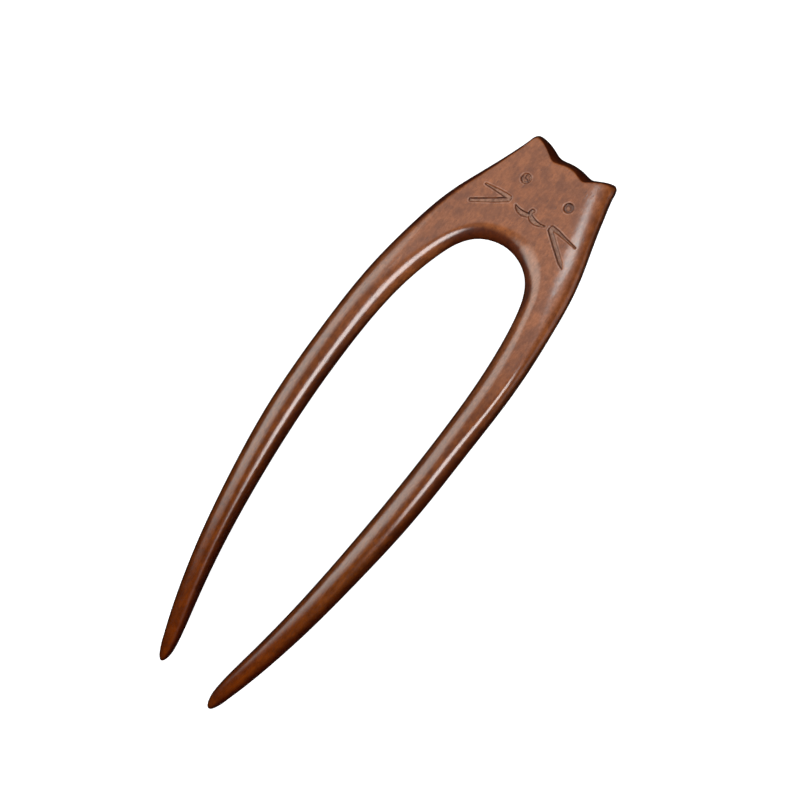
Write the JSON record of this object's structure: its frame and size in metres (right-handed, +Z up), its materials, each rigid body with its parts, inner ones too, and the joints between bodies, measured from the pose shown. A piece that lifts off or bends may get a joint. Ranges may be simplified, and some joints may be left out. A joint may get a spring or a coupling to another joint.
{
  "type": "two-pronged wooden hair fork",
  "caption": "Bowed two-pronged wooden hair fork with a flat cat-shaped head: two ears, and eyes, whiskers and mouth engraved on its face.",
  "frame": {"origin": "middle of the fork's outline seen from above, on the surface that it rests on", "axes": "+Y along the fork from the tips of the prongs to the ears, +X across to the right of the engraved face, +Z up out of the engraved face"},
  "size_m": [0.0444, 0.1454, 0.0104],
  "materials": {
    "polished_wood": "polished dark reddish-brown hardwood, oiled, satin to glossy"
  },
  "bodies": {
    "root": {"fork": "polished_wood"}
  },
  "joints": []
}
